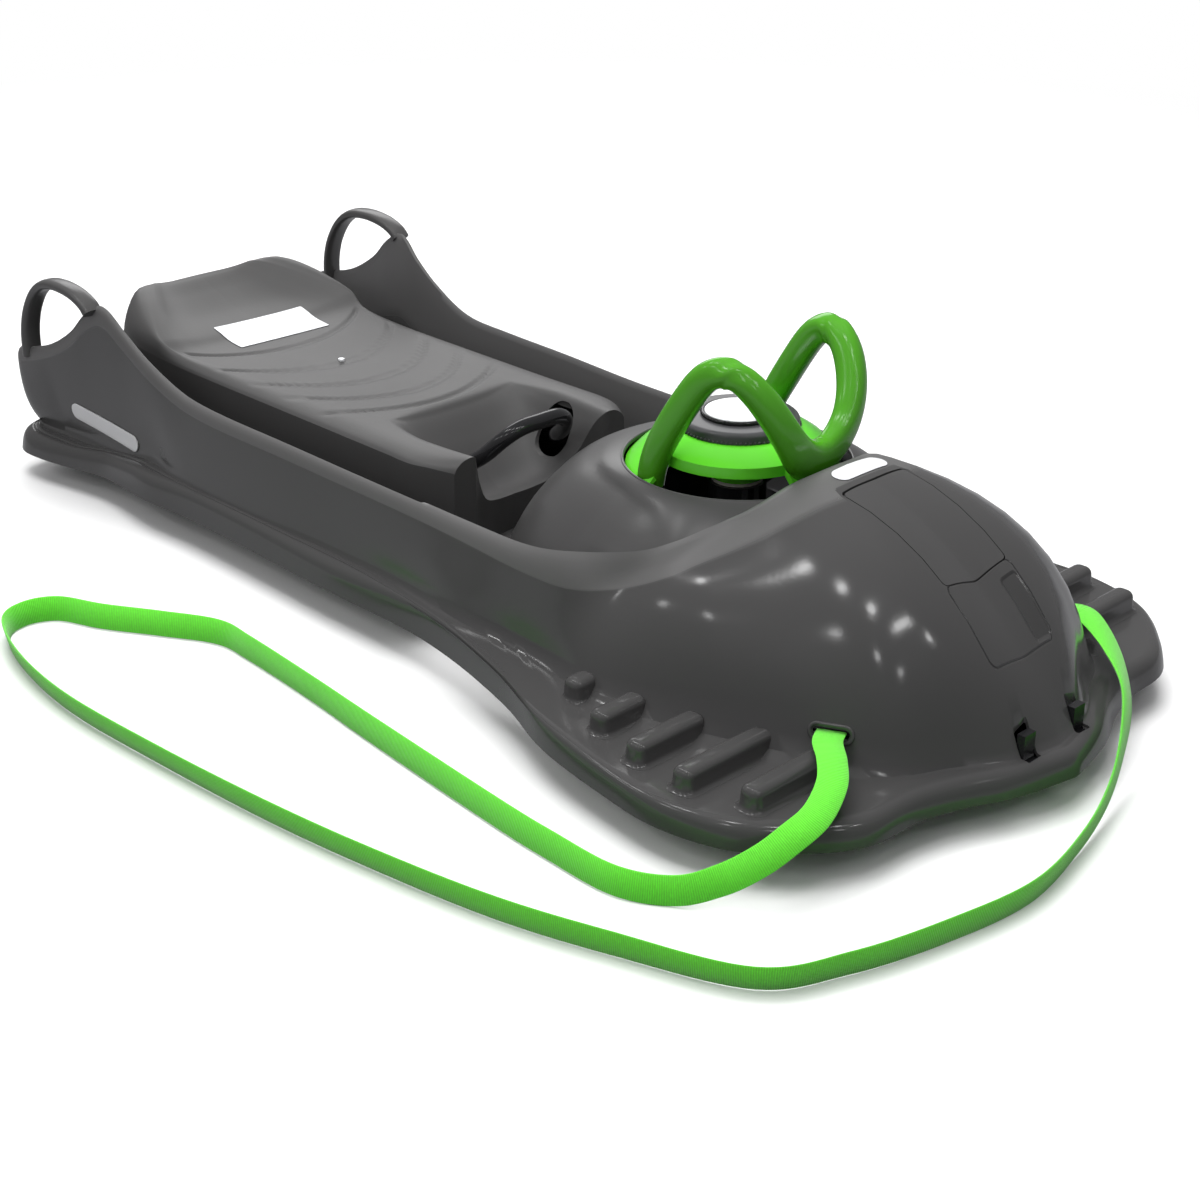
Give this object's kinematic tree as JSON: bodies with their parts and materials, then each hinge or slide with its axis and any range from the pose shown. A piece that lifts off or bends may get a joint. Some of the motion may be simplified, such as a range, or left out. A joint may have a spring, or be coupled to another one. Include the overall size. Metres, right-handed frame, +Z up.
{
  "type": "steerable sled",
  "caption": "Plastic steerable sled with a turning wheel over a front ski, a pull brake, a moulded seat, a hatch and a tow strap.",
  "frame": {"origin": "on the ground, under the middle of the sled's length and width", "axes": "+Z up, the nose towards -Y, the seat towards +Y, the rider's left towards +X"},
  "size_m": [0.7269, 1.2021, 0.2898],
  "materials": {
    "anthracite_plastic": "glossy moulded anthracite plastic",
    "black_plastic": "glossy black plastic",
    "grey_plastic": "satin dark grey plastic",
    "green_plastic": "glossy bright green plastic",
    "white_plastic": "plain white plastic",
    "silver_plate": "bare silver plate",
    "zinc_steel": "zinc-plated steel",
    "bush_plastic": "off-white bearing plastic",
    "green_webbing": "woven bright green webbing"
  },
  "bodies": {
    "sled": {"hull": "anthracite_plastic", "nose_frame": "black_plastic", "lower_bush": "bush_plastic", "upper_bush": "bush_plastic", "steering_dome": "anthracite_plastic", "hatch_tray": "black_plastic", "hatch_pin_left": "zinc_steel", "hatch_pin_right": "zinc_steel", "seat_shell": "anthracite_plastic", "seat_screw_front_left": "zinc_steel", "seat_screw_rear_left": "zinc_steel", "seat_screw_front_right": "zinc_steel", "seat_screw_rear_right": "zinc_steel", "seat_plug": "white_plastic", "brake_pivot_rod": "zinc_steel", "brake_spring": "zinc_steel", "rear_handle_left": "anthracite_plastic", "rear_handle_right": "anthracite_plastic", "badge_left": "silver_plate", "badge_right": "silver_plate", "strap_anchor_left": "black_plastic", "strap_anchor_right": "black_plastic", "tow_strap": "green_webbing", "frame_screw_left": "zinc_steel", "frame_screw_right": "zinc_steel", "dome_screw_left": "zinc_steel", "dome_screw_right": "zinc_steel"},
    "steering": {"steering_wheel": "green_plastic", "hub_washer": "grey_plastic", "hub_cap": "black_plastic", "cap_insert": "white_plastic", "steering_column": "zinc_steel", "column_pin": "zinc_steel", "steering_ski": "green_plastic"},
    "hatch": {"hatch_lid": "anthracite_plastic"},
    "brake": {"brake_handle": "black_plastic", "brake_claw": "zinc_steel"}
  },
  "joints": [
    {"name": "steering_turn", "type": "hinge", "parent": "sled", "child": "steering", "pos_m": [0, -0.232, 0.1], "axis": [0, 0, 1], "range_deg": [-30.9, 19.1]},
    {"name": "hatch_open", "type": "hinge", "parent": "sled", "child": "hatch", "pos_m": [0, -0.3712, 0.1967], "axis": [-1, 0, 0], "range_deg": [0, 100]},
    {"name": "brake_pull", "type": "hinge", "parent": "sled", "child": "brake", "pos_m": [0, 0.15, 0.075], "axis": [-1, 0, 0], "range_deg": [0, 8], "stiffness_Nm_per_rad": 1.2, "springref_deg": -22.92}
  ]
}
